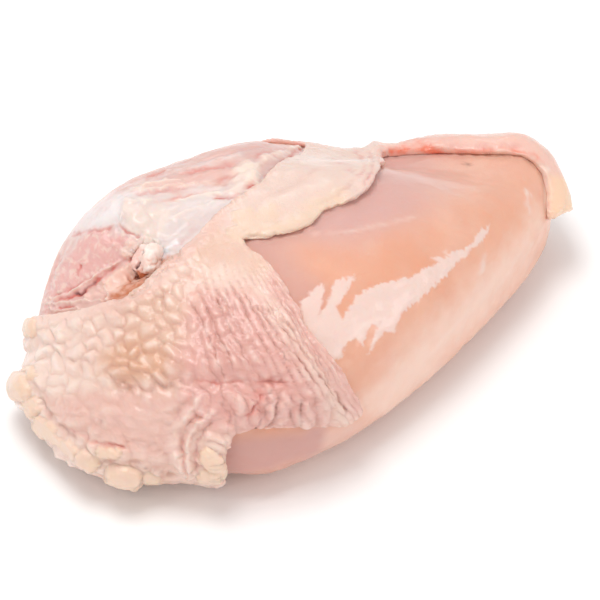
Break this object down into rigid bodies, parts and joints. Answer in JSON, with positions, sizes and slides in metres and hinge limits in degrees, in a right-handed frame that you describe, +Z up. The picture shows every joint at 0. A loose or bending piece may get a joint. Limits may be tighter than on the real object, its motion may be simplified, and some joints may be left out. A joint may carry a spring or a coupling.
{
  "type": "raw chicken breast",
  "caption": "Raw chicken breast half: a plump muscle that tapers to a tip, with skin, fat and a cut wing joint at its thick end.",
  "frame": {"origin": "middle of the footprint, on the surface that the part rests on", "axes": "+X along the breast from the cut wing end to the thin tip, +Z up from the surface that it rests on, and -Y towards the bare muscle's side"},
  "size_m": [0.192, 0.1114, 0.0572],
  "materials": {
    "raw_muscle": "wet, soft and slightly translucent raw muscle",
    "raw_skin": "damp, pimpled raw skin with pale yellow fat",
    "cartilage": "smooth, damp and pearly"
  },
  "bodies": {
    "root": {"breast_meat": "raw_muscle", "skin": "raw_skin", "shoulder_joint": "cartilage"}
  },
  "joints": []
}
